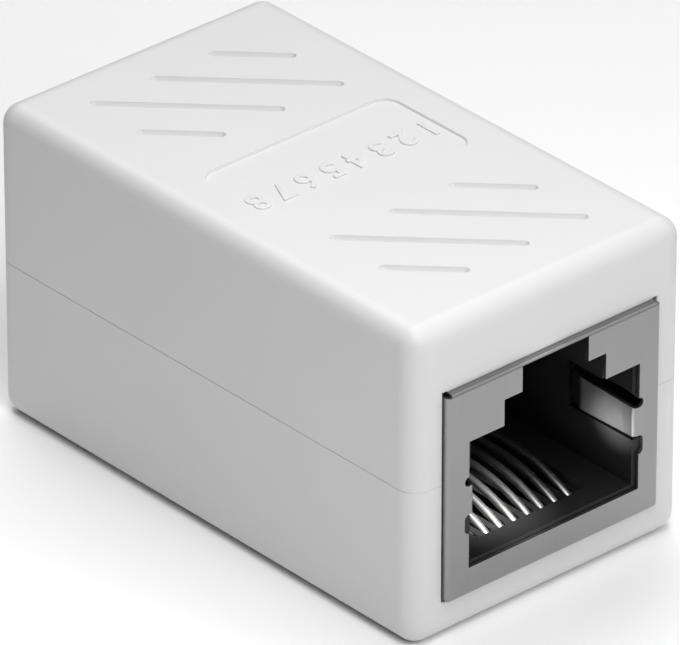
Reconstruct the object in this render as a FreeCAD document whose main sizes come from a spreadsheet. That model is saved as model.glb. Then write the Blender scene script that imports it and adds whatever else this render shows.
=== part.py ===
import FreeCAD, Part
import os
import re

import Sketcher
from FreeCAD import Placement, Rotation, Vector

# Inline coupler for eight-contact network plugs: a two-part moulded body with a shielded socket in each
# end and one circuit board over both sockets. X runs along the body, Z is up, and the origin is the middle
# of the base. The front socket faces +X. The rear socket is the same assembly turned half way round Z.

# Driving sizes in millimetres and degrees: name, value, what it measures
SIZES = [
    ("body_length", 35.0, "moulded body, end face to end face"),
    ("body_width", 20.0, "moulded body, side to side"),
    ("body_height", 19.8, "moulded body, base to top"),
    ("edge_radius", 1.2, "rounding of the body's outer edges"),
    ("shell_wall", 1.5, "wall of both half shells"),
    ("inner_radius", 0.4, "rounding inside the half shells"),
    ("seam_bevel", 0.04, "bevel of both shells along the parting line"),
    ("lip_height", 0.8, "tongue of the lower shell above the parting line"),
    ("lip_wall", 0.7, "thickness of that tongue"),
    ("lip_gap", 0.1, "clearance of the tongue in the upper shell"),
    ("snap_length", 8.0, "snap beads on the long sides of the tongue"),
    ("snap_rise", 0.25, "how far a snap bead stands out of the tongue"),
    ("fit_gap", 0.05, "clearance between pieces that seat on each other"),
    ("port_gap", 0.05, "clearance between an end wall and the shield in it"),
    ("port_round", 0.06, "rounding of the end wall round the shield"),
    ("rail_width", 1.0, "floor rails that carry the shields"),
    ("rail_offset", 4.0, "floor rails from the middle plane"),
    ("rib_width", 1.0, "side ribs that centre the shields"),
    ("rib_inner", 6.0, "inner side ribs from the middle of the body"),
    ("rib_outer", 12.5, "outer side ribs from the middle of the body"),
    ("post_diameter", 1.6, "posts that hold the board down"),
    ("post_gap", 0.6, "those posts in front of the pegs in the board"),
    ("hatch_length", 7.3, "groove field along the body, to the groove ends"),
    ("hatch_width", 12.0, "groove field across the body, to the groove ends"),
    ("hatch_pitch", 3.1, "distance between grooves"),
    ("hatch_offset", 10.06, "middle of a groove field from the middle of the body"),
    ("groove_width", 0.6, "width of a groove"),
    ("groove_depth", 0.28, "depth of a groove"),
    ("groove_slope", 25.0, "lean of the walls of the grooves and the label panel"),
    ("label_length", 7.4, "label panel along the body"),
    ("label_width", 14.0, "label panel across the body"),
    ("label_radius", 1.1, "corners of the label panel"),
    ("label_depth", 0.14, "depth of the label panel"),
    ("shield_width", 15.7, "shield, side to side"),
    ("shield_height", 13.17, "shield, bottom to top"),
    ("shield_reach", 4.4, "back of the shield behind the plug space"),
    ("shield_base", 2.43, "bottom of the shield above the base"),
    ("shield_proud", 0.42, "front of the shield beyond the end face"),
    ("sheet", 0.2, "sheet that the shield is folded from"),
    ("bend_radius", 0.28, "outside radius of the folds"),
    ("flange_depth", 3.0, "flange folded over the top of the port"),
    ("corner_width", 0.3, "relief where the folds meet, across"),
    ("corner_depth", 1.1, "that relief, front to back"),
    ("corner_height", 0.22, "that relief, downwards"),
    ("port_margin", 0.3, "sides of the port in the shield outside the plug space"),
    ("port_sill", 1.75, "bottom of the port above the bottom of the shield"),
    ("port_height", 8.0, "port below the keyway"),
    ("keyway_width", 7.5, "first step of the port"),
    ("keyway_height", 1.64, "rise of the first step"),
    ("latch_width", 4.88, "second step of the port, up to the flange"),
    ("tab_level", 6.05, "middle of a ground tab's fold above the bottom of the shield"),
    ("tab_height", 1.8, "height of a ground tab at its fold"),
    ("tab_length", 3.9, "reach of a ground tab behind the front"),
    ("tab_lean", 0.45, "how far a ground tab leans into the plug space"),
    ("tab_root", 0.12, "start of the tab's fold inside the port's edge"),
    ("tab_rise", 0.65, "upper edge of a ground tab, higher at its tip than at its fold"),
    ("tab_lift", 0.36, "lower edge of a ground tab, likewise"),
    ("tip_length", 1.2, "bent tip of a ground tab, front to back"),
    ("tip_rise", 0.5, "how far the tip bends back to the wall"),
    ("tip_bend", 0.4, "radius of that bend"),
    ("tip_corner", 0.8, "rounded corners of that tip"),
    ("relief_radius", 0.3, "round reliefs above and below a tab"),
    ("relief_drop", 0.6, "how much longer the lower relief is"),
    ("tail_width", 1.2, "tails of the shield in the board"),
    ("tail_place", 9.0, "those tails behind the front of the shield"),
    ("tail_rise", 0.6, "tails, pins and pegs above the board"),
    ("cavity_width", 12.0, "plug space, side to side"),
    ("cavity_depth", 12.6, "plug space behind the front of the shield"),
    ("cavity_sill", 2.02, "floor of the plug space above the bottom of the shield"),
    ("cavity_inset", 0.05, "moulded edge inside the edge of the port"),
    ("sill_depth", 1.7, "floor in front of the contact slots"),
    ("comb_drop", 0.6, "comb between the contacts below that floor"),
    ("latch_wall", 2.2, "front wall that the plug's latch hooks behind"),
    ("floor_wall", 0.3, "housing below the contact slots"),
    ("slot_width", 0.62, "slot for one contact"),
    ("tab_room", 0.3, "recess round a ground tab"),
    ("tab_recess", 0.6, "depth of that recess beyond the side of the port"),
    ("peg_diameter", 2.4, "pegs that locate the housing on the board"),
    ("peg_offset", 5.6, "pegs from the middle plane"),
    ("peg_place", 6.5, "pegs behind the front of the shield"),
    ("peg_bevel", 0.3, "bevel on the end of a peg"),
    ("contact_pitch", 1.02, "distance between contacts"),
    ("strip_width", 0.42, "contact strip, across"),
    ("strip_thickness", 0.3, "contact strip, through the sheet it is stamped from"),
    ("strip_round", 0.28, "radius of the coined side of a contact, which the plug slides on"),
    ("strip_gap", 0.05, "clearance round a contact in the carrier"),
    ("crown_place", 7.7, "crown of a contact behind the front of the shield"),
    ("crown_level", 2.47, "middle of the strip at the crown above the bottom of the shield"),
    ("arch_radius", 10.7, "bend of a contact in front of its crown"),
    ("arch_sweep", 31.0, "angle of that bend"),
    ("leg_bend", 0.9, "bend at the foot of a contact's leg"),
    ("leg_inset", 1.2, "front row of legs behind the plug space"),
    ("leg_stagger", 1.9, "back row of legs behind the front row"),
    ("board_gap", 0.2, "clearance round the circuit board inside the shells"),
    ("board_thickness", 1.0, "circuit board"),
    ("board_corner", 0.6, "corners of the circuit board"),
    ("hole_gap", 0.15, "clearance round pins, tails and pegs in the board"),
]

# Places worked out from those sizes
PLACES = {
    "parting": "body_height / 2",
    "lip_room": "lip_wall + lip_gap",
    "tongue_side": "half_inner_width + lip_wall",
    "snap_level": "parting + lip_height / 2",
    "half_inner_length": "body_length / 2 - shell_wall",
    "half_inner_width": "body_width / 2 - shell_wall",
    "ceiling": "body_height - shell_wall",
    "port_plane": "body_length / 2 + shield_proud",
    "shield_depth": "cavity_depth + shield_reach",
    "shield_back": "port_plane - shield_depth",
    "shield_top": "shield_base + shield_height",
    "half_shield": "shield_width / 2",
    "half_window": "half_shield + port_gap",
    "flange_under": "shield_top - sheet",
    "half_port": "cavity_width / 2 + port_margin",
    "port_bottom": "shield_base + port_sill",
    "port_shoulder": "port_bottom + port_height",
    "port_step": "port_shoulder + keyway_height",
    "tab_middle": "shield_base + tab_level",
    "tab_low": "tab_middle - tab_height / 2",
    "tab_high": "tab_middle + tab_height / 2",
    "tab_fold": "half_port - tab_root",
    "tab_face": "tab_fold - bend_radius",
    "tab_inside": "tab_face - tab_lean - sheet",
    "tab_end": "port_plane - tab_length",
    "tip_end": "tab_end - tip_length",
    "housing_front": "port_plane - sheet - fit_gap",
    "housing_back": "shield_back + sheet + fit_gap",
    "half_housing": "half_shield - sheet - fit_gap",
    "housing_base": "shield_base + sheet + fit_gap",
    "housing_top": "flange_under - fit_gap",
    "cavity_floor": "shield_base + cavity_sill",
    "cavity_roof": "port_shoulder - cavity_inset",
    "cavity_step": "port_step - cavity_inset",
    "half_keyway": "keyway_width / 2 - cavity_inset",
    "half_latch": "latch_width / 2 - cavity_inset",
    "cavity_back": "port_plane - cavity_depth",
    "comb_top": "cavity_floor - comb_drop",
    "slot_floor": "housing_base + floor_wall",
    "crown": "shield_base + crown_level",
    "strip_shoulder": "strip_thickness / 2 - strip_round + sqrt(strip_round ^ 2 - strip_width ^ 2 / 4)",
    "half_board_length": "half_inner_length - board_gap",
    "half_board_width": "half_inner_width - board_gap",
    "board_base": "shield_top + fit_gap",
    "board_top": "board_base + board_thickness",
    "pin_top": "board_top + tail_rise",
    "peg_line": "port_plane - peg_place",
    "post_line": "peg_line + peg_diameter / 2 + post_gap + post_diameter / 2",
}

CONTACTS = 8
MIDDLE_CONTACT = (CONTACTS + 1) / 2
LEG_ROWS = 2
GROOVE_STEPS = (1, 3)  # half pitches from the middle of a groove field
JACK_TURNS = {"front": 0, "rear": 180}
FULL_TURN = 360
BOTH_SIDES = (1, -1)
CLOSE = 1e-4

SIZE_NAMES = {name for name, _, _ in SIZES}

doc = FreeCAD.newDocument("inline_coupler")
sheet = doc.addObject("Spreadsheet::Sheet", "Sizes")
for row, (name, number, meaning) in enumerate(SIZES, start=1):
    sheet.set(f"A{row}", meaning)
    sheet.set(f"B{row}", str(number))
    sheet.setAlias(f"B{row}", name)
doc.recompute()


def expression(text):
    """Spell out the places and sizes in a formula as cells of the sheet."""
    def spell(match):
        word = match.group()
        if word in PLACES:
            return f"({expression(PLACES[word])})"
        return f"Sizes.{word}" if word in SIZE_NAMES else word
    return re.sub(r"[a-z][a-z_]*", spell, str(text))


def measure(text):
    """Value of a formula in millimetres."""
    return float(sheet.evalExpression(expression(text)))


def bind(item, prop, text):
    """Tie a property of a document object to a formula."""
    item.setExpression(prop, expression(text))


def new_body(label):
    """Empty body that becomes one sub-part."""
    body = doc.addObject("PartDesign::Body", label)
    body.Label = label
    return body


def origin_feature(body, role):
    """One of a body's own origin planes or axes."""
    return next(item for item in body.Origin.OriginFeatures if item.Role == role)


def new_sketch(body, name, plane, shift="0"):
    """Sketch on an origin plane of the body, shifted along the plane's normal."""
    sketch = body.newObject("Sketcher::SketchObject", name)
    sketch.AttachmentSupport = [(origin_feature(body, plane), "")]
    sketch.MapMode = "FlatFace"
    bind(sketch, "AttachmentOffset.Base.z", shift)
    return sketch


def hold(sketch, kind, formula, *points):
    """Add a dimension to a sketch and tie it to a formula."""
    index = sketch.addConstraint(Sketcher.Constraint(kind, *points, measure(formula)))
    bind(sketch, f"Constraints[{index}]", formula)


def hold_point(sketch, geometry, point, across, up):
    """Hold one point of a sketch at a place measured from the sketch's origin."""
    hold(sketch, "DistanceX", across, -1, 1, geometry, point)
    hold(sketch, "DistanceY", up, -1, 1, geometry, point)


def arc_between(start, end, radius, turn):
    """Arc of less than half a circle from start to end that turns left (1) or right (-1)."""
    chord = end - start
    side = Vector(-chord.y, chord.x, 0).normalize()
    reach = max(0.0, radius ** 2 - (chord.Length / 2) ** 2) ** 0.5
    centre = (start + end) / 2 + side * reach * turn
    middle = centre - side * radius * turn
    return Part.Arc(start, middle, end)


def trace(sketch, corners, closed=True):
    """Draw a line through corners (across, up), where (across, up, radius, turn) is reached by an arc."""
    spots = [Vector(measure(corner[0]), measure(corner[1]), 0) for corner in corners]
    legs = list(range(len(corners))) if closed else list(range(1, len(corners)))
    first = None
    for leg in legs:
        corner = corners[leg]
        start, end = spots[leg - 1], spots[leg]
        if len(corner) == 2:
            geometry = sketch.addGeometry(Part.LineSegment(start, end), False)
            start_point, end_point = 1, 2
        else:
            geometry = sketch.addGeometry(arc_between(start, end, measure(corner[2]), corner[3]), False)
            start_point, end_point = (1, 2) if corner[3] > 0 else (2, 1)
            hold(sketch, "Radius", corner[2], geometry)
        hold_point(sketch, geometry, end_point, corner[0], corner[1])
        if first is None:
            first = (geometry, start_point)
            if not closed:
                hold_point(sketch, geometry, start_point, *corners[0][:2])
        else:
            sketch.addConstraint(Sketcher.Constraint("Coincident", *last, geometry, start_point))
        last = (geometry, end_point)
    if closed:
        sketch.addConstraint(Sketcher.Constraint("Coincident", *last, *first))


def about(middle, width):
    """Low and high edge of a strip about its middle line."""
    return f"{middle} - ({width}) / 2", f"{middle} + ({width}) / 2"


def on_side(side, near, far):
    """Low and high edge of a strip between two distances from the middle plane, on one side of it."""
    edges = [f"{side} * ({near})", f"{side} * ({far})"]
    return edges if side > 0 else reversed(edges)


def rectangle(sketch, left, right, low, high):
    """Draw a rectangle between four formulas."""
    trace(sketch, [(left, low), (right, low), (right, high), (left, high)])


def circle(sketch, across, up, diameter):
    """Draw a circle about a place."""
    centre = Vector(measure(across), measure(up), 0)
    geometry = sketch.addGeometry(Part.Circle(centre, Vector(0, 0, 1), measure(diameter) / 2), False)
    hold_point(sketch, geometry, 3, across, up)
    hold(sketch, "Diameter", diameter, geometry)


def rounded_rectangle(sketch, half_across, half_up, radius):
    """Draw a rectangle with round corners about the sketch's origin."""
    inner_across, inner_up = f"({half_across} - {radius})", f"({half_up} - {radius})"
    trace(sketch, [
        (inner_across, f"-({half_up})"),
        (half_across, f"-{inner_up}", radius, 1),
        (half_across, inner_up),
        (inner_across, half_up, radius, 1),
        (f"-{inner_across}", half_up),
        (f"-({half_across})", inner_up, radius, 1),
        (f"-({half_across})", f"-{inner_up}"),
        (f"-{inner_across}", f"-({half_up})", radius, 1),
    ])


def slot(sketch, start, end, width):
    """Draw a slot with round ends between two places."""
    near = Vector(measure(start[0]), measure(start[1]), 0)
    far = Vector(measure(end[0]), measure(end[1]), 0)
    ahead = (far - near).normalize() * measure(width) / 2
    aside = Vector(-ahead.y, ahead.x, 0)
    far_arc = sketch.addGeometry(Part.Arc(far - aside, far + ahead, far + aside), False)
    near_arc = sketch.addGeometry(Part.Arc(near + aside, near - ahead, near - aside), False)
    right = sketch.addGeometry(Part.LineSegment(near - aside, far - aside), False)
    left = sketch.addGeometry(Part.LineSegment(far + aside, near + aside), False)
    order = (right, far_arc, left, near_arc)
    for number, geometry in enumerate(order):
        sketch.addConstraint(Sketcher.Constraint("Tangent", order[number - 1], 2, geometry, 1))
    hold_point(sketch, far_arc, 3, *end)
    hold_point(sketch, near_arc, 3, *start)
    hold(sketch, "Radius", f"{width} / 2", far_arc)
    sketch.addConstraint(Sketcher.Constraint("Equal", far_arc, near_arc))


def volume_of(body):
    """Volume of what a body holds so far."""
    return body.Shape.Volume if not body.Shape.isNull() else 0.0


def finish_feature(body, feature, grows):
    """Rebuild, and make sure that a feature added material, or took some away."""
    before = volume_of(body)
    body.Tip = feature
    doc.recompute()
    change = volume_of(body) - before
    worked = abs(change) > CLOSE and (change > 0) == grows
    if feature.Shape.isNull() or not feature.Shape.isValid() or not worked:
        raise RuntimeError(f"{body.Label}: {feature.Name} changed the volume by {change}")
    return feature


def pad(body, sketch, name, length, reverse=False):
    """Raise a sketch along its normal, or the other way."""
    feature = body.newObject("PartDesign::Pad", name)
    feature.Profile = sketch
    feature.Reversed = reverse
    bind(feature, "Length", length)
    return finish_feature(body, feature, grows=True)


def pocket(body, sketch, name, depth, reverse=False, slope="0"):
    """Cut a sketch into the body against its normal, or the other way, with walls that lean in."""
    feature = body.newObject("PartDesign::Pocket", name)
    feature.Profile = sketch
    feature.Reversed = reverse
    bind(feature, "Length", depth)
    bind(feature, "TaperAngle", f"-({slope})")
    return finish_feature(body, feature, grows=False)


def pocket_through(body, sketch, name):
    """Cut a sketch right through the body, both ways."""
    feature = body.newObject("PartDesign::Pocket", name)
    feature.Profile = sketch
    feature.SideType = "Symmetric"
    feature.Type = "ThroughAll"
    return finish_feature(body, feature, grows=False)


def dress(body, kind, name, size_name, formula, choose):
    """Fillet or chamfer the edges that a test chooses."""
    base = body.Tip
    numbered = enumerate(base.Shape.Edges, start=1)
    edges = [f"Edge{number}" for number, edge in numbered if choose(edge.BoundBox)]
    feature = body.newObject(f"PartDesign::{kind}", name)
    feature.Base = (base, edges)
    bind(feature, size_name, formula)
    body.Tip = feature
    doc.recompute()
    return feature


def fillet(body, name, radius, choose):
    """Round the chosen edges."""
    return dress(body, "Fillet", name, "Radius", radius, choose)


def chamfer(body, name, width, choose):
    """Bevel the chosen edges."""
    return dress(body, "Chamfer", name, "Size", width, choose)


def repeat_across(body, features, name, spacing, count, grows):
    """Repeat features along +Y."""
    pattern = body.newObject("PartDesign::LinearPattern", name)
    pattern.Originals = features
    pattern.Direction = (origin_feature(body, "Y_Axis"), [""])
    pattern.Mode = "Spacing"
    bind(pattern, "Offset", spacing)
    pattern.Occurrences = count
    return finish_feature(body, pattern, grows)


def repeat_half_turn(body, features, name, grows):
    """Repeat features half way round the Z axis."""
    pattern = body.newObject("PartDesign::PolarPattern", name)
    pattern.Originals = features
    pattern.Axis = (origin_feature(body, "Z_Axis"), [""])
    pattern.Angle = FULL_TURN
    pattern.Occurrences = 2
    return finish_feature(body, pattern, grows)


def mirror_sides(body, features, name, grows):
    """Repeat features on the other side of the middle plane."""
    twin = body.newObject("PartDesign::Mirrored", name)
    twin.Originals = features
    twin.MirrorPlane = (origin_feature(body, "XZ_Plane"), [""])
    return finish_feature(body, twin, grows)


def at(value, target):
    """Whether a coordinate lies on a place."""
    return abs(value - target) < CLOSE


def lies_on(low, high, target):
    """Whether an edge lies in a plane, from its two bounds."""
    return at(low, target) and at(high, target)


def place_jack(body, jack, across="0"):
    """Put a piece of a socket in its end of the body, moved across by a formula."""
    turn = JACK_TURNS[jack]
    body.Placement = Placement(Vector(), Rotation(Vector(0, 0, 1), turn))
    bind(body, "Placement.Base.y", across if turn == 0 else f"-({across})")


# Moulded half shells

def add_outer_block(body, base):
    """Half of the rounded outer body, standing on a level, with the bevel along the parting line."""
    outline = new_sketch(body, "outline", "XY_Plane", base)
    rectangle(outline, "-body_length / 2", "body_length / 2", "-body_width / 2", "body_width / 2")
    pad(body, outline, "block", "parting")
    seam = measure("parting")
    fillet(body, "outer_edges", "edge_radius", lambda box: not lies_on(box.ZMin, box.ZMax, seam))
    chamfer(body, "seam_edge", "seam_bevel", lambda box: lies_on(box.ZMin, box.ZMax, seam))


def hollow_out(body, upwards):
    """Room inside a half shell, open at the parting line, with rounded inner corners."""
    room = new_sketch(body, "room", "XY_Plane", "parting")
    rectangle(room, "-half_inner_length", "half_inner_length", "-half_inner_width", "half_inner_width")
    pocket(body, room, "hollow", "parting - shell_wall", reverse=upwards)
    seam = measure("parting")
    half_length, half_width = measure("half_inner_length"), measure("half_inner_width")

    def inside(box):
        reach = max(abs(box.XMin), abs(box.XMax))
        spread = max(abs(box.YMin), abs(box.YMax))
        within = reach < half_length + CLOSE and spread < half_width + CLOSE
        floor = measure("ceiling") if upwards else measure("shell_wall")
        reaches_floor = at(box.ZMax, floor) if upwards else at(box.ZMin, floor)
        return within and reaches_floor and not lies_on(box.ZMin, box.ZMax, seam)

    fillet(body, "inner_corners", "inner_radius", inside)


def cut_windows(body, low, high):
    """Openings in both end walls for the shields, with their outer edges rounded."""
    window = new_sketch(body, "windows", "YZ_Plane")
    rectangle(window, "-half_window", "half_window", low, high)
    pocket_through(body, window, "window_openings")
    half_length, half_window = measure("body_length / 2"), measure("half_window")

    def rims(box):
        on_end = lies_on(abs(box.XMin), abs(box.XMax), half_length)
        return on_end and max(abs(box.YMin), abs(box.YMax)) < half_window + CLOSE

    fillet(body, "window_rims", "port_round", rims)


def draw_snaps(sketch, shift="0"):
    """Three-cornered sections of the snap beads on both long sides, moved outwards by a formula."""
    for side in BOTH_SIDES:
        root = f"{side} * (tongue_side - lip_wall / 2 + {shift})"
        foot = f"{side} * (tongue_side + {shift})"
        peak = f"{side} * (tongue_side + snap_rise + {shift})"
        trace(sketch, [
            (root, "snap_level - snap_rise"),
            (foot, "snap_level - snap_rise"),
            (peak, "snap_level"),
            (foot, "snap_level + snap_rise"),
            (root, "snap_level + snap_rise"),
        ])


def add_grooves(body):
    """Two fields of slanted grooves in the top."""
    field = new_sketch(body, "groove_field", "XY_Plane", "body_height")
    for sign in BOTH_SIDES:
        for step in GROOVE_STEPS:
            offset = f"{step} * hatch_pitch * sqrt(2) / 2"
            near = "hatch_length / 2"
            far = f"min(hatch_length / 2; hatch_width / 2 - {offset})"
            near_end = (f"hatch_offset - {sign} * {near}", f"{sign} * ({offset} - {near})")
            far_end = (f"hatch_offset + {sign} * {far}", f"{sign} * ({offset} + {far})")
            slot(field, near_end, far_end, "groove_width")
    grooves = pocket(body, field, "grooves", "groove_depth", slope="groove_slope")
    repeat_half_turn(body, [grooves], "both_fields", grows=False)


def add_label_panel(body):
    """Shallow panel with round corners in the middle of the top."""
    panel = new_sketch(body, "label_panel", "XY_Plane", "body_height")
    rounded_rectangle(panel, "label_length / 2", "label_width / 2", "label_radius")
    pocket(body, panel, "label_recess", "label_depth", slope="groove_slope")


def make_upper_shell():
    """Upper half with the rebate and catches for the tongue, the posts, the grooves and the label panel."""
    body = new_body("upper_shell")
    add_outer_block(body, "parting")
    hollow_out(body, upwards=True)
    rebate = new_sketch(body, "rebate", "XY_Plane", "parting")
    rectangle(rebate, "-half_inner_length - lip_room", "half_inner_length + lip_room",
              "-half_inner_width - lip_room", "half_inner_width + lip_room")
    pocket(body, rebate, "tongue_rebate", "lip_height + lip_gap", reverse=True)
    catches = new_sketch(body, "snap_catches", "YZ_Plane", "snap_length / 2 + lip_gap")
    draw_snaps(catches, "lip_gap")
    pocket(body, catches, "catches", "snap_length + 2 * lip_gap")
    cut_windows(body, "parting - port_gap", "shield_top + port_gap")
    posts = new_sketch(body, "board_posts", "XY_Plane", "ceiling")
    for end in BOTH_SIDES:
        for side in BOTH_SIDES:
            circle(posts, f"{end} * post_line", f"{side} * peg_offset", "post_diameter")
    pad(body, posts, "posts", "ceiling - board_top - fit_gap", reverse=True)
    add_grooves(body)
    add_label_panel(body)


def make_lower_shell():
    """Lower half with the tongue, its snap beads, the rails under the shields and the ribs beside them."""
    body = new_body("lower_shell")
    add_outer_block(body, "0")
    hollow_out(body, upwards=False)
    tongue = new_sketch(body, "tongue", "XY_Plane", "parting")
    rectangle(tongue, "-half_inner_length", "half_inner_length", "-half_inner_width", "half_inner_width")
    rectangle(tongue, "-half_inner_length - lip_wall", "half_inner_length + lip_wall",
              "-half_inner_width - lip_wall", "half_inner_width + lip_wall")
    pad(body, tongue, "lip", "lip_height")
    snaps = new_sketch(body, "snap_beads", "YZ_Plane", "-snap_length / 2")
    draw_snaps(snaps)
    pad(body, snaps, "snaps", "snap_length")
    cut_windows(body, "shield_base - port_gap", "parting + lip_height + port_gap")
    rails = new_sketch(body, "rails", "XY_Plane", "shell_wall")
    for side in BOTH_SIDES:
        rectangle(rails, "-half_inner_length + inner_radius", "half_inner_length - inner_radius",
                  *about(f"{side} * rail_offset", "rail_width"))
    pad(body, rails, "floor_rails", "shield_base - shell_wall - fit_gap")
    ribs = new_sketch(body, "ribs", "XY_Plane", "shell_wall")
    for end in BOTH_SIDES:
        for place in ("rib_inner", "rib_outer"):
            for side in BOTH_SIDES:
                rectangle(ribs, *about(f"{end} * {place}", "rib_width"),
                          *on_side(side, "half_shield + fit_gap", "half_inner_width + lip_wall / 2"))
    pad(body, ribs, "side_ribs", "parting - shell_wall")


# Folded shields

def draw_port(sketch, half_width, low, shoulder, step, high, half_keyway, half_latch):
    """Stepped outline of the port: the plug's body, the keyway and the slot for the latch."""
    right = [(half_width, low), (half_width, shoulder), (half_keyway, shoulder), (half_keyway, step),
             (half_latch, step), (half_latch, high)]
    left = [(f"-({across})", up) for across, up in reversed(right)]
    trace(sketch, right + left)


def fold_shield(body):
    """Box of folded sheet: front, sides, bottom and back, open above apart from a flange over the port."""
    face = new_sketch(body, "face", "YZ_Plane", "shield_back")
    rectangle(face, "-half_shield", "half_shield", "shield_base", "shield_top")
    pad(body, face, "block", "shield_depth")
    front, low = measure("port_plane"), measure("shield_base")

    def folds(box):
        at_front = lies_on(box.XMin, box.XMax, front)
        at_bottom = lies_on(box.ZMin, box.ZMax, low)
        return at_front or at_bottom

    fillet(body, "folds", "bend_radius", folds)
    room = new_sketch(body, "room", "YZ_Plane", "port_plane - sheet")
    rectangle(room, "-half_shield + sheet", "half_shield - sheet", "shield_base + sheet", "flange_under")
    pocket(body, room, "hollow", "shield_depth - 2 * sheet")
    top = new_sketch(body, "open_top", "XY_Plane", "shield_top")
    rectangle(top, "shield_back - sheet", "port_plane - flange_depth",
              "-half_shield + sheet", "half_shield - sheet")
    pocket(body, top, "top_opening", "sheet")


def cut_shield_front(body):
    """Stepped port, and the reliefs above it where the folds meet."""
    port = new_sketch(body, "port", "YZ_Plane", "port_plane")
    draw_port(port, "half_port", "port_bottom", "port_shoulder", "port_step", "flange_under",
              "keyway_width / 2", "latch_width / 2")
    pocket(body, port, "port_opening", "bend_radius")
    corners = new_sketch(body, "corner_reliefs", "XY_Plane", "shield_top")
    for side in BOTH_SIDES:
        rectangle(corners, "port_plane - corner_depth", "port_plane + sheet",
                  *on_side(side, "half_shield - corner_width", "half_shield + sheet"))
    pocket(body, corners, "corner_relief_cuts", "corner_height")


def add_ground_tabs(body):
    """Sprung tabs folded back from both sides of the port, with tips that bend back to the wall."""
    tab = new_sketch(body, "ground_tab", "XY_Plane", "tab_low")
    trace(tab, [
        ("port_plane", "half_port + sheet"),
        ("port_plane", "tab_fold"),
        ("port_plane - bend_radius", "tab_face", "bend_radius", -1),
        ("tab_end", "tab_face - tab_lean"),
        ("tip_end", "tab_face - tab_lean + tip_rise"),
        ("tip_end", "tab_face - tab_lean + tip_rise + sheet"),
        ("tab_end", "tab_face - tab_lean + sheet"),
        ("port_plane - bend_radius", "tab_face + sheet"),
        ("port_plane - sheet", "tab_fold", "bend_radius - sheet", 1),
        ("port_plane - sheet", "half_port + sheet"),
    ])
    spring = pad(body, tab, "tab", "tab_height + tab_rise")
    outline = new_sketch(body, "tab_outline", "XZ_Plane", "-(tab_inside)")
    rectangle(outline, "tip_end - sheet", "port_plane + sheet",
              "tab_low - sheet", "tab_high + tab_rise + sheet")
    trace(outline, [
        ("port_plane + sheet / 2", "tab_low"),
        ("port_plane + sheet / 2", "tab_high"),
        ("tip_end + tip_corner", "tab_high + tab_rise"),
        ("tip_end", "tab_high + tab_rise - tip_corner", "tip_corner", 1),
        ("tip_end", "tab_low + tab_lift + tip_corner"),
        ("tip_end + tip_corner", "tab_low + tab_lift", "tip_corner", 1),
    ])
    trim = pocket(body, outline, "tab_trim", "half_port - tab_inside")
    mirror_sides(body, [spring, trim], "both_tabs", grows=True)
    bend = measure("tab_end")
    fillet(body, "tab_bends", "tip_bend", lambda box: lies_on(box.XMin, box.XMax, bend))
    reliefs = new_sketch(body, "tab_reliefs", "YZ_Plane", "port_plane")
    for side in BOTH_SIDES:
        edge = f"{side} * half_port"
        circle(reliefs, edge, "tab_high + relief_radius", "2 * relief_radius")
        slot(reliefs, (edge, "tab_low - relief_radius - relief_drop"), (edge, "tab_low - relief_radius"),
             "2 * relief_radius")
    pocket(body, reliefs, "tab_relief_cuts", "bend_radius")


def add_shield_tails(body):
    """Tails on both sides that pass up through the board."""
    tails = new_sketch(body, "tails", "XY_Plane", "shield_top")
    for side in BOTH_SIDES:
        rectangle(tails, *about("port_plane - tail_place", "tail_width"),
                  *on_side(side, "half_shield - sheet", "half_shield"))
    pad(body, tails, "solder_tails", "pin_top - shield_top")


def make_shield(jack):
    """Folded sheet round one socket."""
    body = new_body(f"{jack}_jack_shield")
    place_jack(body, jack)
    fold_shield(body)
    cut_shield_front(body)
    add_ground_tabs(body)
    add_shield_tails(body)


# Moulded socket bodies

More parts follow.
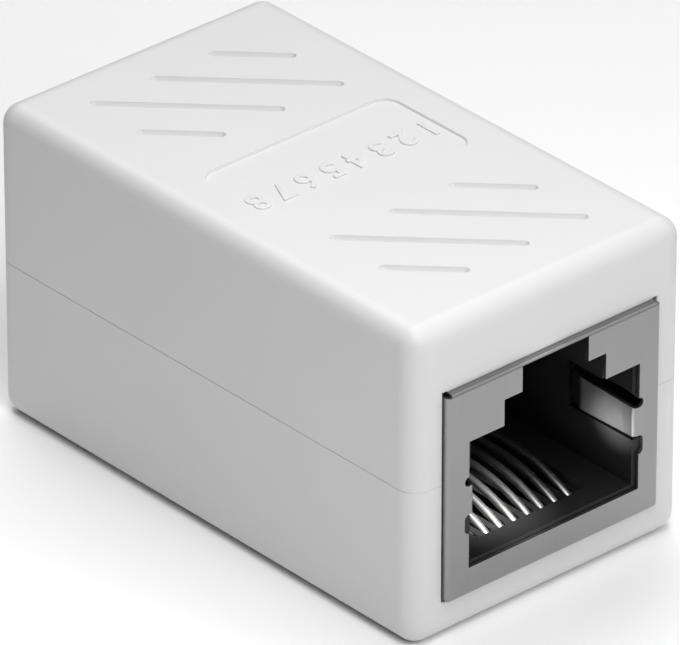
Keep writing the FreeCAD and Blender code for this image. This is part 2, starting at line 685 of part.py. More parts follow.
def make_housing(jack):
    """Socket body with the plug space, the latch wall, the contact slots and the pegs in the board."""
    body = new_body(f"{jack}_jack_housing")
    place_jack(body, jack)
    face = new_sketch(body, "face", "YZ_Plane", "housing_back")
    rectangle(face, "-half_housing", "half_housing", "housing_base", "housing_top")
    pad(body, face, "block", "housing_front - housing_back")
    space = new_sketch(body, "plug_space", "YZ_Plane", "housing_front")
    draw_port(space, "cavity_width / 2", "cavity_floor", "cavity_roof", "cavity_step",
              "housing_top + sheet", "half_keyway", "half_latch")
    pocket(body, space, "plug_opening", "housing_front - cavity_back")
    channel = new_sketch(body, "latch_channel", "YZ_Plane", "port_plane - latch_wall")
    rectangle(channel, "-half_keyway", "half_keyway", "cavity_roof - sheet", "housing_top + sheet")
    pocket(body, channel, "latch_room", "cavity_depth - latch_wall")
    seat = new_sketch(body, "carrier_seat", "YZ_Plane", "housing_back")
    rectangle(seat, "-cavity_width / 2", "cavity_width / 2", "slot_floor", "housing_top + sheet")
    pocket(body, seat, "carrier_room", "cavity_back - housing_back", reverse=True)
    trough = new_sketch(body, "comb_trough", "XY_Plane", "cavity_floor")
    rectangle(trough, "cavity_back", "port_plane - sill_depth", *about("0", f"{CONTACTS} * contact_pitch"))
    pocket(body, trough, "trough_cut", "comb_drop")
    first = f"(1 - {MIDDLE_CONTACT}) * contact_pitch"
    comb = new_sketch(body, "contact_slot", "XY_Plane", "comb_top")
    rectangle(comb, "cavity_back", "port_plane - sill_depth", *about(first, "slot_width"))
    cut = pocket(body, comb, "slot_cut", "comb_top - slot_floor")
    repeat_across(body, [cut], "comb", "contact_pitch", CONTACTS, grows=False)
    recess = new_sketch(body, "tab_recesses", "XY_Plane", "tab_low - tab_room")
    for side in BOTH_SIDES:
        rectangle(recess, "tip_end - tab_room", "housing_front",
                  *on_side(side, "cavity_width / 2 - sheet", "half_port + tab_recess"))
    pocket(body, recess, "tab_rooms", "tab_height + tab_rise + 2 * tab_room", reverse=True)
    pegs = new_sketch(body, "pegs", "XY_Plane", "housing_top")
    for side in BOTH_SIDES:
        circle(pegs, "peg_line", f"{side} * peg_offset", "peg_diameter")
    pad(body, pegs, "board_pegs", "pin_top - housing_top")
    tip = measure("pin_top")
    chamfer(body, "peg_ends", "peg_bevel", lambda box: lies_on(box.ZMin, box.ZMax, tip))


def leg_line(row):
    """Place of a row of legs along the body."""
    return f"(cavity_back - leg_inset - {row} * leg_stagger)"


def make_carrier(jack):
    """Insert that closes the back of the socket, with a slot and a shaft for every contact."""
    body = new_body(f"{jack}_contact_carrier")
    place_jack(body, jack)
    face = new_sketch(body, "face", "YZ_Plane", "housing_back")
    rectangle(face, "-cavity_width / 2 + fit_gap", "cavity_width / 2 - fit_gap",
              "slot_floor + fit_gap", "housing_top")
    pad(body, face, "block", "cavity_back - fit_gap - housing_back")
    row_pitch, row_count = f"{LEG_ROWS} * contact_pitch", CONTACTS // LEG_ROWS
    room_across, room_through = "strip_width + 2 * strip_gap", "strip_thickness + 2 * strip_gap"
    for row in range(LEG_ROWS):
        across = about(f"(1 + {row} - {MIDDLE_CONTACT}) * contact_pitch", room_across)
        behind, ahead = about(leg_line(row), room_through)
        mouth = new_sketch(body, "contact_slot", "XY_Plane", f"crown - ({room_through}) / 2")
        rectangle(mouth, behind, "cavity_back", *across)
        slot_cut = pocket(body, mouth, "slot_cut", f"leg_bend + {room_through}", reverse=True)
        repeat_across(body, [slot_cut], "slot_row", row_pitch, row_count, grows=False)
        shaft = new_sketch(body, "leg_shaft", "XY_Plane", "housing_top")
        rectangle(shaft, behind, ahead, *across)
        shaft_cut = pocket(body, shaft, "shaft_cut", "housing_top - crown")
        repeat_across(body, [shaft_cut], "shaft_row", row_pitch, row_count, grows=False)


def make_contact(jack, number):
    """Formed strip: down into its slot at the front, along the plug space and up through the board."""
    body = new_body(f"{jack}_contact_{number}")
    place_jack(body, jack, f"({number} - {MIDDLE_CONTACT}) * contact_pitch")
    leg = leg_line((number - 1) % LEG_ROWS)
    crown = "port_plane - crown_place"
    path = new_sketch(body, "path", "XZ_Plane")
    trace(path, [
        (f"{crown} + arch_radius * sin(arch_sweep)", "crown - arch_radius * (1 - cos(arch_sweep))"),
        (crown, "crown", "arch_radius", 1),
        (f"{leg} + leg_bend", "crown"),
        (leg, "crown + leg_bend", "leg_bend", -1),
        (leg, "pin_top"),
    ], closed=False)
    section = new_sketch(body, "section", "XY_Plane", "pin_top")
    low, high = about("0", "strip_width")
    trace(section, [
        (f"{leg} - strip_thickness / 2", low),
        (f"{leg} + strip_shoulder", low),
        (f"{leg} + strip_shoulder", high, "strip_round", 1),
        (f"{leg} - strip_thickness / 2", high),
    ])
    doc.recompute()
    formed = body.newObject("PartDesign::AdditivePipe", "formed_strip")
    formed.Profile = section
    formed.Spine = (path, [f"Edge{edge}" for edge in range(1, len(path.Shape.Edges) + 1)])
    finish_feature(body, formed, grows=True)


# Circuit board

def make_board():
    """Board over both sockets with holes for the contacts, the pegs and the shields' tails."""
    body = new_body("circuit_board")
    outline = new_sketch(body, "outline", "XY_Plane", "board_base")
    rounded_rectangle(outline, "half_board_length", "half_board_width", "board_corner")
    pad(body, outline, "board", "board_thickness")
    holes = new_sketch(body, "holes", "XY_Plane", "board_top")
    for end in BOTH_SIDES:
        for number in range(1, CONTACTS + 1):
            row = leg_line((number - 1) % LEG_ROWS)
            across = f"{end} * ({number} - {MIDDLE_CONTACT}) * contact_pitch"
            circle(holes, f"{end} * {row}", across, "strip_width + 2 * hole_gap")
        for side in BOTH_SIDES:
            circle(holes, f"{end} * peg_line", f"{side} * peg_offset", "peg_diameter + 2 * hole_gap")
            rectangle(holes, *about(f"{end} * (port_plane - tail_place)", "tail_width + 2 * hole_gap"),
                      *about(f"{side} * (half_shield - sheet / 2)", "sheet + 2 * hole_gap"))
    pocket(body, holes, "drilling", "board_thickness")


def check_document():
    """Stop if any object failed to rebuild, or a sub-part is missing or not one valid solid."""
    failed = [item.Name for item in doc.Objects if {"Invalid", "Error"} & set(item.State)]
    for body in doc.findObjects("PartDesign::Body"):
        shape = body.Shape
        if shape.isNull() or not shape.isValid() or len(shape.Solids) != 1:
            failed.append(body.Label)
    if failed:
        raise RuntimeError(f"failed: {failed}")


def write_parts():
    """Write each sub-part to a file of its own name."""
    os.makedirs("parts", exist_ok=True)
    for body in doc.findObjects("PartDesign::Body"):
        body.Shape.exportStep(f"parts/{body.Label}.step")


make_upper_shell()
make_lower_shell()
for jack in JACK_TURNS:
    make_shield(jack)
    make_housing(jack)
    make_carrier(jack)
    for number in range(1, CONTACTS + 1):
        make_contact(jack, number)
make_board()
doc.recompute()
check_document()
write_parts()
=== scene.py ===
import math
from collections import namedtuple

import bpy
from bpy.props import FloatProperty, FloatVectorProperty, PointerProperty
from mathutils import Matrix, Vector


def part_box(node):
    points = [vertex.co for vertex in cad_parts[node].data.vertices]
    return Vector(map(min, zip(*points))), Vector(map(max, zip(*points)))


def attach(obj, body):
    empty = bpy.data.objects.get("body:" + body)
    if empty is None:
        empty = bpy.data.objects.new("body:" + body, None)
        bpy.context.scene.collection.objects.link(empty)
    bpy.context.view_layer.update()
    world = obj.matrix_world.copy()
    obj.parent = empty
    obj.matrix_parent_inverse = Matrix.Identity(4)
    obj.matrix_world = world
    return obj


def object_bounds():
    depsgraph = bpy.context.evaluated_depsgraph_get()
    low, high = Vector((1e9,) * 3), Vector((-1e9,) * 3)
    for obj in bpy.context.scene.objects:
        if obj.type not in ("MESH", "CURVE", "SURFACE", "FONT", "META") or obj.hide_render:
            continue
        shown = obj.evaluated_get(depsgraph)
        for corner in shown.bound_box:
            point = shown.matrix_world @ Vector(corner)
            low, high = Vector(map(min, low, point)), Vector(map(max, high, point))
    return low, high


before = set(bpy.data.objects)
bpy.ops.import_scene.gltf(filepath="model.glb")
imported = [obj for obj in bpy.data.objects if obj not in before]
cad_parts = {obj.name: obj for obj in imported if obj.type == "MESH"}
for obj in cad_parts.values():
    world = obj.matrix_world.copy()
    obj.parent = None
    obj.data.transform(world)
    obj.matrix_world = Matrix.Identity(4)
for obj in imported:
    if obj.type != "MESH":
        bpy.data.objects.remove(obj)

bl_info = {
    "name": "Inline coupler looks",
    "version": (1, 0, 0),
    "blender": (4, 5, 0),
    "location": "View3D > Sidebar > Coupler",
    "description": "Finishes, raised digits, window lips and studio of a network inline coupler",
    "category": "Object",
}

MM = 0.001
CAD_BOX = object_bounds()
BODY = "root"

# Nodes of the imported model, by what they are made of
JACKS = ("front", "rear")
CONTACTS = range(1, 9)
SHELLS = ("upper_shell", "lower_shell")
SHIELDS = tuple(f"{jack}_jack_shield" for jack in JACKS)
MOULDINGS = tuple(f"{jack}_{piece}" for jack in JACKS for piece in ("jack_housing", "contact_carrier"))
STRIPS = tuple(f"{jack}_contact_{number}" for jack in JACKS for number in CONTACTS)
BOARD = "circuit_board"

# The sRGB curve: a straight foot up to the knee, and a power curve above it
SRGB_FULL, SRGB_KNEE, SRGB_FOOT, SRGB_OFFSET, SRGB_POWER = 255, 0.04045, 12.92, 0.055, 2.4

# Sockets of the mix node that carry colours
MIX_A, MIX_B, MIX_RESULT = 6, 7, 2

# Refractive indices of the plastics and of the board's lacquer. PBT itself has about 1.55, which is
# lowered here to match the dull black of the sockets
ABS_IOR, PBT_IOR, LACQUER_IOR = 1.53, 1.48, 1.50

# Octaves of every noise, the length of one wave of the wave node at a scale of 1, as it draws 20 radians
# to the unit, and how far a roughness wanders to both sides of its mean
NOISE_DETAIL = 3.0
WAVE_LENGTH = math.tau / 20
ROUGHNESS_SPAN = 0.05

# Strength of each relief, and its depth as a share of the size of its marks
GRAIN_STRENGTH, GRAIN_DEPTH = 0.12, 0.25
STREAK_STRENGTH, STREAK_DEPTH = 0.03, 0.1
FIBRE_STRENGTH, FIBRE_DEPTH = 0.05, 0.1
LINE_STRENGTH, LINE_DEPTH = 0.03, 0.1
WEAVE_STRENGTH, WEAVE_DEPTH = 0.1, 0.16

# How much the marks are drawn out along the sheet and along the strips
ROLLED_UPRIGHT = (1.0, 1.0, 0.06)
DRAWN_LENGTHWAYS = (0.1, 1.0, 0.1)

# Segments of a rounded edge, the angle above which an edge is sharp, and the gap below which points
# count as one
EDGE_STEPS = 2
SHARP_ANGLE = math.radians(30.0)
WELD_GAP = 0.001 * MM

# Turn of the row of digits, which runs across the body and is read from the rear socket, and the half
# turn that brings the front socket onto the rear one
DIGITS_TURN = math.radians(-90.0)
HALF_TURN = math.pi

# Lamps: degrees round from the front socket towards the far side, degrees above the floor, distance and
# width in millimetres, and the spot on the object in millimetres that the lamp faces
Lamp = namedtuple("Lamp", "side rise distance width spot")
KEY_LAMP = Lamp(152.0, 64.0, 600.0, 450.0, (0.0, 0.0, 10.0))
RIGHT_LAMP = Lamp(52.0, 28.0, 500.0, 450.0, (15.0, 0.0, 15.0))
FRONT_LAMP = Lamp(-14.0, 38.0, 210.0, 120.0, (18.0, -6.0, 12.0))
NEAR_LAMP = Lamp(-38.0, 66.0, 110.0, 60.0, (18.0, -10.0, 18.0))
SNOOT_LAMP = Lamp(9.5, 50.6, 300.0, 4.0, (17.9, -1.3, 9.6))
TAB_LAMP = Lamp(-70.0, 3.0, 150.0, 2.0, (16.5, 5.7, 8.05))

# Narrow beams: their angle in degrees, and how much of it is soft edge
SNOOT_BEAM, SNOOT_BLEND = 1.1, 0.6

# Wall that the camera sees past the floor, and the dull paper of the floor
WALL_COLOUR, WALL_BRIGHTNESS = (1.0, 1.0, 1.0, 1.0), 1.0
PAPER_ROUGHNESS = 0.9


def linear(code):
    """Linear colour of an sRGB hex value."""
    shares = [int(code[start:start + 2], 16) / SRGB_FULL for start in (1, 3, 5)]
    return tuple(
        share / SRGB_FOOT if share <= SRGB_KNEE else ((share + SRGB_OFFSET) / (1 + SRGB_OFFSET)) ** SRGB_POWER
        for share in shares
    )


def colour(name, description, code):
    """Property for a colour, from an sRGB hex value."""
    return FloatVectorProperty(name=name, description=description, subtype="COLOR", size=3,
                               min=0.0, max=1.0, default=linear(code))


def length(name, description, millimetres):
    """Property for a length, from a size in millimetres."""
    return FloatProperty(name=name, description=description, unit="LENGTH", precision=5,
                         default=millimetres * MM)


def angle(name, description, degrees):
    """Property for an angle, from degrees."""
    return FloatProperty(name=name, description=description, subtype="ANGLE", unit="ROTATION",
                         default=math.radians(degrees))


def factor(name, description, default):
    """Property for a share between nothing and all."""
    return FloatProperty(name=name, description=description, subtype="FACTOR", min=0.0, max=1.0,
                         default=default)


def power(name, description, watts):
    """Property for the power of a lamp."""
    return FloatProperty(name=name, description=description, unit="POWER", min=0.0, default=watts)


class CouplerFinishes(bpy.types.PropertyGroup):
    """Colours and textures of the materials"""

    # The grain, streaks, specks and lines are finer on the real surfaces, too fine to show in a picture
    # of the whole object, so they are drawn as coarse as they need to be seen
    abs_light: colour("ABS, light", "Moulded white body, lighter flow", "#DCDCDC")
    abs_dark: colour("ABS, dark", "Moulded white body, darker flow", "#D8D8D8")
    abs_flow: length("ABS flow", "Size of the faint flow marks in the white body", 6.0)
    abs_grain: length("ABS grain", "Size of the spark-eroded grain on the white body", 0.16)
    abs_roughness: factor("ABS roughness", "Satin of the white body", 0.46)
    nickel_light: colour("Nickel, light", "Plated sheet, lighter streaks", "#999999")
    nickel_dark: colour("Nickel, dark", "Plated sheet, darker streaks", "#929292")
    nickel_streak: length("Nickel streak", "Spacing of the rolling marks in the sheet", 0.22)
    nickel_roughness: factor("Nickel roughness", "Satin of the plated sheet", 0.35)
    pbt_black: colour("PBT black", "Moulded socket bodies", "#101010")
    pbt_speckle: colour("PBT speckle", "Glass fibre at the surface of the socket bodies", "#171717")
    pbt_fibre: length("PBT fibre", "Size of the specks in the socket bodies", 0.3)
    pbt_roughness: factor("PBT roughness", "Low gloss of the socket bodies", 0.6)
    strip_bright: colour("Contact plating, bright", "Plating on the contact strips", "#EFEFEE")
    strip_dull: colour("Contact plating, dull", "Handled parts of the contact strips", "#DDDDDB")
    strip_line: length("Contact lines", "Spacing of the drawn lines on the contact strips", 0.08)
    strip_roughness: factor("Contact roughness", "Satin of the contact strips", 0.32)
    mask_light: colour("Lacquer over copper", "Green lacquer above the tracks", "#0D3A1E")
    mask_dark: colour("Lacquer over laminate", "Green lacquer between the tracks", "#082912")
    mask_weave: length("Weave", "Spacing of the glass weave in the board", 0.377)
    mask_roughness: factor("Lacquer roughness", "Gloss of the board's lacquer", 0.3)


class CouplerLabel(bpy.types.PropertyGroup):
    """Raised digits in the label panel"""

    digit_height: length("Digit height", "Height of the digits' type", 2.3)
    relief: length("Relief", "Height of the digits above the floor of the panel", 0.1)
    sunk: length("Sunk", "Depth of the digits below the floor of the panel", 0.02)
    edge: length("Edge", "Rounding of the digits' edges, which also makes their strokes bolder", 0.035)
    panel_depth: length("Panel depth", "Floor of the label panel below the top of the body", 0.14)
    forward: length("Forward", "Middle of the digits in front of the middle of the body", 0.5)


class CouplerLips(bpy.types.PropertyGroup):
    """Lips of the windows that seat on the shields"""

    gap: length("Gap", "Height of a lip between the window and the shield", 0.05)
    bite: length("Bite", "How far a lip reaches into the shell that carries it", 0.03)
    depth: length("Depth", "Depth of a lip behind the end face", 0.6)
    inset: length("Inset", "Lip short of the end face and of the shield", 0.004)
    corner: length("Corner", "Rounded corner of the shield that a lip leaves free at each side", 0.3)
    rounding: length("Rounding", "Rounding of a lip's lower front edge", 0.02)


class CouplerStage(bpy.types.PropertyGroup):
    """Camera, lamps and floor"""

    azimuth: angle("Azimuth", "Camera round from the long side towards the front socket", 48.459)
    elevation: angle("Elevation", "Camera above the horizon", 30.167)
    distance: length("Distance", "Camera from the middle of the body", 562.44)
    lens: FloatProperty(name="Lens", description="Focal length in millimetres on a 36 mm sensor",
                        default=535.27)
    aim_right: length("Aim right", "Aim to the right of the middle of the body", 0.18)
    aim_down: length("Aim down", "Aim below the middle of the body", 0.43)
    floor_size: length("Floor size", "Side of the floor", 6000.0)
    floor_drop: length("Floor drop", "Floor below the base", 0.01)
    floor_light: colour("Floor, light", "Lighter parts of the paper floor", "#FEFEFE")
    floor_dark: colour("Floor, dark", "Darker parts of the paper floor", "#FAFAFA")
    floor_mottle: length("Floor mottle", "Size of the clouds in the paper floor", 40.0)
    floor_near: length("Floor near", "Distance at which the floor begins to fade into the room", 80.0)
    floor_far: length("Floor far", "Distance at which the floor has faded into the room", 220.0)
    key_power: power("Key power", "Large soft lamp above the far side and the rear socket", 2.41)
    right_power: power("Right power", "Soft panel right of the front socket, which its folds mirror", 0.68)
    front_power: power("Front power", "Soft lamp before the front socket", 0.12)
    near_power: power("Near power", "Small soft lamp above the near corner", 0.075)
    snoot_power: power("Snoot power", "Narrow beam on the contacts of the front socket", 36.0)
    tab_power: power("Tab power", "Narrow beam on the right ground tab of the front socket", 9.0)
    room_light: factor("Room light", "Even light from the studio's walls", 0.03)


def add_node(tree, kind, inputs, **settings):
    """Add a node, set its properties, and set each input or link it to another node's output."""
    added = tree.nodes.new(kind)
    for name, value in settings.items():
        setattr(added, name, value)
    for name, value in inputs.items():
        if isinstance(value, bpy.types.NodeSocket):
            tree.links.new(value, added.inputs[name])
        else:
            added.inputs[name].default_value = value
    return added


def start_material(name):
    """Empty material, its node tree and the coordinates of the piece in metres."""
    material = bpy.data.materials.new(name)
    material.use_nodes = True
    tree = material.node_tree
    tree.nodes.clear()
    place = add_node(tree, "ShaderNodeTexCoord", {}).outputs["Object"]
    return material, tree, place


def finish_material(tree, inputs):
    """Add the surface shader with its inputs."""
    shader = add_node(tree, "ShaderNodeBsdfPrincipled", inputs)
    add_node(tree, "ShaderNodeOutputMaterial", {"Surface": shader.outputs["BSDF"]})


def clouds(tree, place, size, dark, light):
    """Noise of a real size, and the colour that wanders with it between two tones."""
    noise = add_node(tree, "ShaderNodeTexNoise", {"Vector": place, "Scale": 1 / size, "Detail": NOISE_DETAIL})
    tone = add_node(tree, "ShaderNodeMix", {
        "Factor": noise.outputs["Fac"],
        MIX_A: (*dark, 1.0),
        MIX_B: (*light, 1.0),
    }, data_type="RGBA")
    return noise.outputs["Fac"], tone.outputs[MIX_RESULT]


def marked(tree, marks, roughness, strength, depth):
    """Roughness that wanders about its mean with the marks in a surface, and the relief that they leave."""
    spread = add_node(tree, "ShaderNodeMapRange", {
        "Value": marks,
        "To Min": roughness - ROUGHNESS_SPAN,
        "To Max": roughness + ROUGHNESS_SPAN,
    })
    relief = add_node(tree, "ShaderNodeBump", {"Height": marks, "Strength": strength, "Distance": depth})
    return {"Roughness": spread.outputs["Result"], "Normal": relief.outputs["Normal"]}


def moulded_white_abs(finishes):
    """White ABS, injection moulded in a spark-eroded tool: an even satin white with a fine grain."""
    material, tree, place = start_material("moulded_white_abs")
    _, tone = clouds(tree, place, finishes.abs_flow, finishes.abs_dark, finishes.abs_light)
    grain = add_node(tree, "ShaderNodeTexNoise", {
        "Vector": place,
        "Scale": 1 / finishes.abs_grain,
        "Detail": NOISE_DETAIL,
    }).outputs["Fac"]
    finish_material(tree, {
        "Base Color": tone,
        "IOR": ABS_IOR,
        **marked(tree, grain, finishes.abs_roughness, GRAIN_STRENGTH, finishes.abs_grain * GRAIN_DEPTH),
    })
    return material


def rolled_nickel_plate(finishes):
    """Steel sheet, rolled, stamped and nickel plated: a grey satin metal with faint upright rolling marks."""
    material, tree, place = start_material("rolled_nickel_plate")
    drawn = add_node(tree, "ShaderNodeMapping", {"Vector": place, "Scale": ROLLED_UPRIGHT})
    streaks, tone = clouds(tree, drawn.outputs["Vector"], finishes.nickel_streak,
                           finishes.nickel_dark, finishes.nickel_light)
    depth = finishes.nickel_streak * STREAK_DEPTH
    finish_material(tree, {
        "Base Color": tone,
        "Metallic": 1.0,
        **marked(tree, streaks, finishes.nickel_roughness, STREAK_STRENGTH, depth),
    })
    return material


def moulded_black_pbt(finishes):
    """Glass-filled PBT, injection moulded: a deep black with a low gloss and specks of fibre."""
    material, tree, place = start_material("moulded_black_pbt")
    fibre, tone = clouds(tree, place, finishes.pbt_fibre, finishes.pbt_black, finishes.pbt_speckle)
    finish_material(tree, {
        "Base Color": tone,
        "IOR": PBT_IOR,
        **marked(tree, fibre, finishes.pbt_roughness, FIBRE_STRENGTH, finishes.pbt_fibre * FIBRE_DEPTH),
    })
    return material


def plated_phosphor_bronze(finishes):
    """Phosphor bronze strip, stamped, formed and plated: a pale satin metal with lines along the strip."""
    material, tree, place = start_material("plated_phosphor_bronze")
    drawn = add_node(tree, "ShaderNodeMapping", {"Vector": place, "Scale": DRAWN_LENGTHWAYS})
    lines, tone = clouds(tree, drawn.outputs["Vector"], finishes.strip_line,
                         finishes.strip_dull, finishes.strip_bright)
    finish_material(tree, {
        "Base Color": tone,
        "Metallic": 1.0,
        **marked(tree, lines, finishes.strip_roughness, LINE_STRENGTH, finishes.strip_line * LINE_DEPTH),
    })
    return material


def lacquered_glass_laminate(finishes):
    """Glass and epoxy laminate under green lacquer: glossy, with the weave just showing through."""
    material, tree, place = start_material("lacquered_glass_laminate")
    wave = add_node(tree, "ShaderNodeTexWave", {
        "Vector": place,
        "Scale": WAVE_LENGTH / finishes.mask_weave,
    })
    weave = wave.outputs["Fac"]
    tone = add_node(tree, "ShaderNodeMix", {
        "Factor": weave,
        MIX_A: (*finishes.mask_dark, 1.0),
        MIX_B: (*finishes.mask_light, 1.0),
    }, data_type="RGBA")
    finish_material(tree, {
        "Base Color": tone.outputs[MIX_RESULT],
        "IOR": LACQUER_IOR,
        **marked(tree, weave, finishes.mask_roughness, WEAVE_STRENGTH, finishes.mask_weave * WEAVE_DEPTH),
    })
    return material


def studio_paper(stage):
    """White seamless paper, with clouds that can just be told apart, which fades into the white room."""
    material, tree, place = start_material("studio_paper")
    _, tone = clouds(tree, place, stage.floor_mottle, stage.floor_dark, stage.floor_light)
    reach = add_node(tree, "ShaderNodeVectorMath", {0: place}, operation="LENGTH")
    cover = add_node(tree, "ShaderNodeMapRange", {
        "Value": reach.outputs["Value"],
        "From Min": stage.floor_near,
        "From Max": stage.floor_far,
        "To Min": 1.0,
        "To Max": 0.0,
    }, interpolation_type="SMOOTHSTEP")
    finish_material(tree, {
        "Base Color": tone,
        "Roughness": PAPER_ROUGHNESS,
        "Alpha": cover.outputs["Result"],
    })
    return material


def coat(names, material):
    """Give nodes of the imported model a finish."""
    for name in names:
        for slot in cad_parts[name].material_slots:
            slot.material = material


def deselect():
    """Leave nothing selected, so that the next operator acts on the new piece alone."""
    bpy.ops.object.select_all(action="DESELECT")


def apply_place():
    """Put the place, turn and size of the new piece into its mesh."""
    bpy.ops.object.transform_apply(location=True, rotation=True, scale=True)


def join_upper_shell(piece):
    """Give a new piece the finish of the upper shell, and let it ride with the body."""
    piece.data.materials.append(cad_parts["upper_shell"].material_slots[0].material)
    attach(piece, BODY)


def aim(thing, spot):
    """Turn a lamp or camera towards a spot."""
    thing.rotation_euler = (spot - thing.location).to_track_quat("-Z", "Y").to_euler()


class COUPLER_OT_finish_shells(bpy.types.Operator):
    """Coat both half shells in moulded white ABS"""

    bl_idname = "coupler.finish_shells"
    bl_label = "Finish shells"

    def execute(self, context):
        coat(SHELLS, moulded_white_abs(context.scene.coupler_finishes))
        return {"FINISHED"}


class COUPLER_OT_finish_shields(bpy.types.Operator):
    """Coat the folded shields in nickel plate"""

    bl_idname = "coupler.finish_shields"
    bl_label = "Finish shields"

    def execute(self, context):
        coat(SHIELDS, rolled_nickel_plate(context.scene.coupler_finishes))
        return {"FINISHED"}


class COUPLER_OT_finish_sockets(bpy.types.Operator):
    """Coat the socket bodies and contact carriers in black PBT"""

    bl_idname = "coupler.finish_sockets"
    bl_label = "Finish sockets"

    def execute(self, context):
        coat(MOULDINGS, moulded_black_pbt(context.scene.coupler_finishes))
        return {"FINISHED"}


class COUPLER_OT_finish_contacts(bpy.types.Operator):
    """Coat the contact strips in bright plating"""

    bl_idname = "coupler.finish_contacts"
    bl_label = "Finish contacts"

    def execute(self, context):
        coat(STRIPS, plated_phosphor_bronze(context.scene.coupler_finishes))
        return {"FINISHED"}


class COUPLER_OT_finish_board(bpy.types.Operator):
    """Coat the circuit board in green lacquer"""

    bl_idname = "coupler.finish_board"
    bl_label = "Finish board"

    def execute(self, context):
        coat((BOARD,), lacquered_glass_laminate(context.scene.coupler_finishes))
        return {"FINISHED"}


class COUPLER_OT_raise_digits(bpy.types.Operator):
    """Raise the contact numbers from the floor of the label panel"""

    bl_idname = "coupler.raise_digits"
    bl_label = "Raise digits"

    def execute(self, context):
        label = context.scene.coupler_label
        deselect()
        digits = self.set_type(context, label)
        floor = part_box("upper_shell")[1].z - label.panel_depth
        digits.rotation_euler = (0.0, 0.0, DIGITS_TURN)
        digits.location = (label.forward, 0.0, floor + (label.relief - label.sunk) / 2)
        apply_place()
        self.weld()
        join_upper_shell(digits)
        return {"FINISHED"}

    def set_type(self, context, label):
        """Mesh of the row of digits, lying flat about the origin."""
        bpy.ops.object.text_add()
        digits = context.object
        digits.name = digits.data.name = "label_digits"
        font = digits.data
        font.body = " ".join(str(number) for number in CONTACTS)
        font.size = label.digit_height
        font.align_x = "CENTER"
        font.align_y = "CENTER"
        font.bevel_depth = label.edge
        font.bevel_resolution = EDGE_STEPS
        font.extrude = (label.relief + label.sunk) / 2 - label.edge
        bpy.ops.object.convert(target="MESH")
        return digits

    def weld(self):
        """Close the seams between faces and walls, and shade the rounded edges smooth."""
        bpy.ops.object.mode_set(mode="EDIT")
        bpy.ops.mesh.select_all(action="SELECT")
        bpy.ops.mesh.remove_doubles(threshold=WELD_GAP)
        bpy.ops.mesh.normals_make_consistent(inside=False)
        bpy.ops.object.mode_set(mode="OBJECT")
        bpy.ops.object.shade_smooth_by_angle(angle=SHARP_ANGLE)


class COUPLER_OT_seat_windows(bpy.types.Operator):
    """Add the lip of each window that seats on the top of its shield"""

    bl_idname = "coupler.seat_windows"
    bl_label = "Seat windows"

    def execute(self, context):
        lips = context.scene.coupler_lips
        deselect()
        front_lip = self.make_front_lip(context, lips)
        bpy.ops.object.duplicate()
        rear_lip = context.object
        rear_lip.name = rear_lip.data.name = "rear_window_lip"
        rear_lip.rotation_euler = (0.0, 0.0, HALF_TURN)
        apply_place()
        for lip in (front_lip, rear_lip):
            join_upper_shell(lip)
        return {"FINISHED"}

    def make_front_lip(self, context, lips):
        """Bar along the upper edge of the front window, which is level with the underside of the board."""
        shield_low, shield_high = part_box("front_jack_shield")
        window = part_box(BOARD)[0].z
        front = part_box("upper_shell")[1].x - lips.inset
        low = window - lips.gap + lips.inset
        high = window + lips.bite
        width = shield_high.y - shield_low.y - 2 * lips.corner
        bpy.ops.mesh.primitive_cube_add(size=1.0, location=(front - lips.depth / 2, 0.0, (low + high) / 2))
        lip = context.object
        lip.name = lip.data.name = "front_window_lip"
        lip.scale = (lips.depth, width, high - low)
        apply_place()
        self.round_edge(lip, front, low, lips.rounding)
        return lip

    def round_edge(self, lip, front, low, rounding):
        """Bevel the edge along the lip's lower front."""
        bpy.ops.object.mode_set(mode="EDIT")
        bpy.ops.mesh.select_all(action="DESELECT")
        bpy.ops.object.mode_set(mode="OBJECT")
        near = [abs(v.co.x - front) < WELD_GAP and abs(v.co.z - low) < WELD_GAP for v in lip.data.vertices]
        for edge in lip.data.edges:
            edge.select = all(near[corner] for corner in edge.vertices)
        bpy.ops.object.mode_set(mode="EDIT")
        bpy.ops.mesh.bevel(offset=rounding, segments=EDGE_STEPS)
        bpy.ops.object.mode_set(mode="OBJECT")


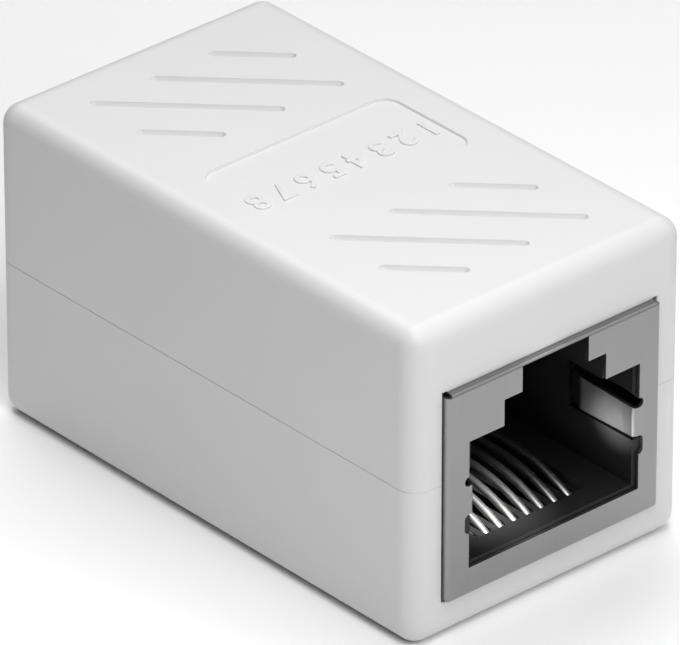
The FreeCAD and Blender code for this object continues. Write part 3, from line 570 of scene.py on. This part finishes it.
class COUPLER_OT_set_stage(bpy.types.Operator):
    """Lay the floor, hang the lamps and place the camera"""

    bl_idname = "coupler.set_stage"
    bl_label = "Set stage"

    def execute(self, context):
        stage = context.scene.coupler_stage
        self.lay_floor(context, stage)
        self.light_room(context, stage)
        self.hang_soft_lamp(context, "key_lamp", KEY_LAMP, stage.key_power)
        self.hang_soft_lamp(context, "right_lamp", RIGHT_LAMP, stage.right_power)
        self.hang_soft_lamp(context, "front_lamp", FRONT_LAMP, stage.front_power)
        self.hang_soft_lamp(context, "near_lamp", NEAR_LAMP, stage.near_power)
        self.hang_snoot(context, "snoot_lamp", SNOOT_LAMP, stage.snoot_power)
        self.hang_snoot(context, "tab_lamp", TAB_LAMP, stage.tab_power)
        self.place_camera(context, stage)
        return {"FINISHED"}

    def lay_floor(self, context, stage):
        """Seamless paper just below the base."""
        deselect()
        bpy.ops.mesh.primitive_plane_add(size=stage.floor_size, location=(0.0, 0.0, -stage.floor_drop))
        floor = context.object
        floor.name = "studio_floor"
        apply_place()
        floor.data.materials.append(studio_paper(stage))

    def light_room(self, context, stage):
        """Even light from all round, with a white view of the wall behind the floor."""
        context.scene.view_settings.view_transform = "Standard"
        world = bpy.data.worlds.new("studio_room")
        world.use_nodes = True
        tree = world.node_tree
        tree.nodes.clear()
        path = add_node(tree, "ShaderNodeLightPath", {})
        glow = add_node(tree, "ShaderNodeMapRange", {
            "Value": path.outputs["Is Camera Ray"],
            "To Min": stage.room_light,
            "To Max": WALL_BRIGHTNESS,
        })
        wall = add_node(tree, "ShaderNodeBackground", {
            "Color": WALL_COLOUR,
            "Strength": glow.outputs["Result"],
        })
        add_node(tree, "ShaderNodeOutputWorld", {"Surface": wall.outputs["Background"]})
        context.scene.world = world

    def hang_lamp(self, context, kind, name, lamp, watts):
        """Lamp at its place, turned to the spot that it faces."""
        deselect()
        side, rise = math.radians(lamp.side), math.radians(lamp.rise)
        way = Vector((math.cos(side) * math.cos(rise), math.sin(side) * math.cos(rise), math.sin(rise)))
        spot = Vector(lamp.spot) * MM
        bpy.ops.object.light_add(type=kind, location=spot + way * lamp.distance * MM)
        hung = context.object
        hung.name = hung.data.name = name
        hung.data.energy = watts
        hung.visible_camera = False
        aim(hung, spot)
        return hung.data

    def hang_soft_lamp(self, context, name, lamp, watts):
        """Square lamp with a soft edge to its shadows."""
        light = self.hang_lamp(context, "AREA", name, lamp, watts)
        light.size = lamp.width * MM

    def hang_snoot(self, context, name, lamp, watts):
        """Lamp with a tube before it, whose narrow beam falls through the port."""
        light = self.hang_lamp(context, "SPOT", name, lamp, watts)
        light.shadow_soft_size = lamp.width * MM / 2
        light.spot_size = math.radians(SNOOT_BEAM)
        light.spot_blend = SNOOT_BLEND

    def place_camera(self, context, stage):
        """Long lens at the picture's angle."""
        deselect()
        side, rise = stage.azimuth, stage.elevation
        back = Vector((math.sin(side) * math.cos(rise), -math.cos(side) * math.cos(rise), math.sin(rise)))
        right = Vector((math.cos(side), math.sin(side), 0.0))
        up = back.cross(right)
        middle = Vector((0.0, 0.0, CAD_BOX[1].z / 2))
        bpy.ops.object.camera_add(location=middle + back * stage.distance)
        camera = context.object
        camera.name = "studio_camera"
        camera.data.lens = stage.lens
        camera.data.clip_end = stage.floor_size
        aim(camera, middle + right * stage.aim_right - up * stage.aim_down)
        context.scene.camera = camera


class COUPLER_PT_looks(bpy.types.Panel):
    """Finishes, digits, lips and stage of the coupler"""

    bl_idname = "COUPLER_PT_looks"
    bl_label = "Inline coupler"
    bl_space_type = "VIEW_3D"
    bl_region_type = "UI"
    bl_category = "Coupler"

    def draw(self, context):
        layout = self.layout
        for operator in OPERATORS:
            layout.operator(operator.bl_idname)
        for group in SETTINGS:
            settings = getattr(context.scene, group)
            column = layout.column(heading=group.replace("_", " "))
            for name in settings.bl_rna.properties.keys():
                if name not in ("rna_type", "name"):
                    column.prop(settings, name)


SETTINGS = {
    "coupler_finishes": CouplerFinishes,
    "coupler_label": CouplerLabel,
    "coupler_lips": CouplerLips,
    "coupler_stage": CouplerStage,
}
OPERATORS = (
    COUPLER_OT_finish_shells,
    COUPLER_OT_finish_shields,
    COUPLER_OT_finish_sockets,
    COUPLER_OT_finish_contacts,
    COUPLER_OT_finish_board,
    COUPLER_OT_raise_digits,
    COUPLER_OT_seat_windows,
    COUPLER_OT_set_stage,
)
CLASSES = (*SETTINGS.values(), *OPERATORS, COUPLER_PT_looks)


def register():
    """Add the classes and the scene's settings."""
    for added in CLASSES:
        bpy.utils.register_class(added)
    for name, group in SETTINGS.items():
        setattr(bpy.types.Scene, name, PointerProperty(type=group))


def unregister():
    """Take the classes and the scene's settings away."""
    for name in SETTINGS:
        delattr(bpy.types.Scene, name)
    for added in reversed(CLASSES):
        bpy.utils.unregister_class(added)


def main():
    """Run every step in order."""
    register()
    bpy.ops.coupler.finish_shells()
    bpy.ops.coupler.finish_shields()
    bpy.ops.coupler.finish_sockets()
    bpy.ops.coupler.finish_contacts()
    bpy.ops.coupler.finish_board()
    bpy.ops.coupler.raise_digits()
    bpy.ops.coupler.seat_windows()
    bpy.ops.coupler.set_stage()


if __name__ == "__main__":
    main()
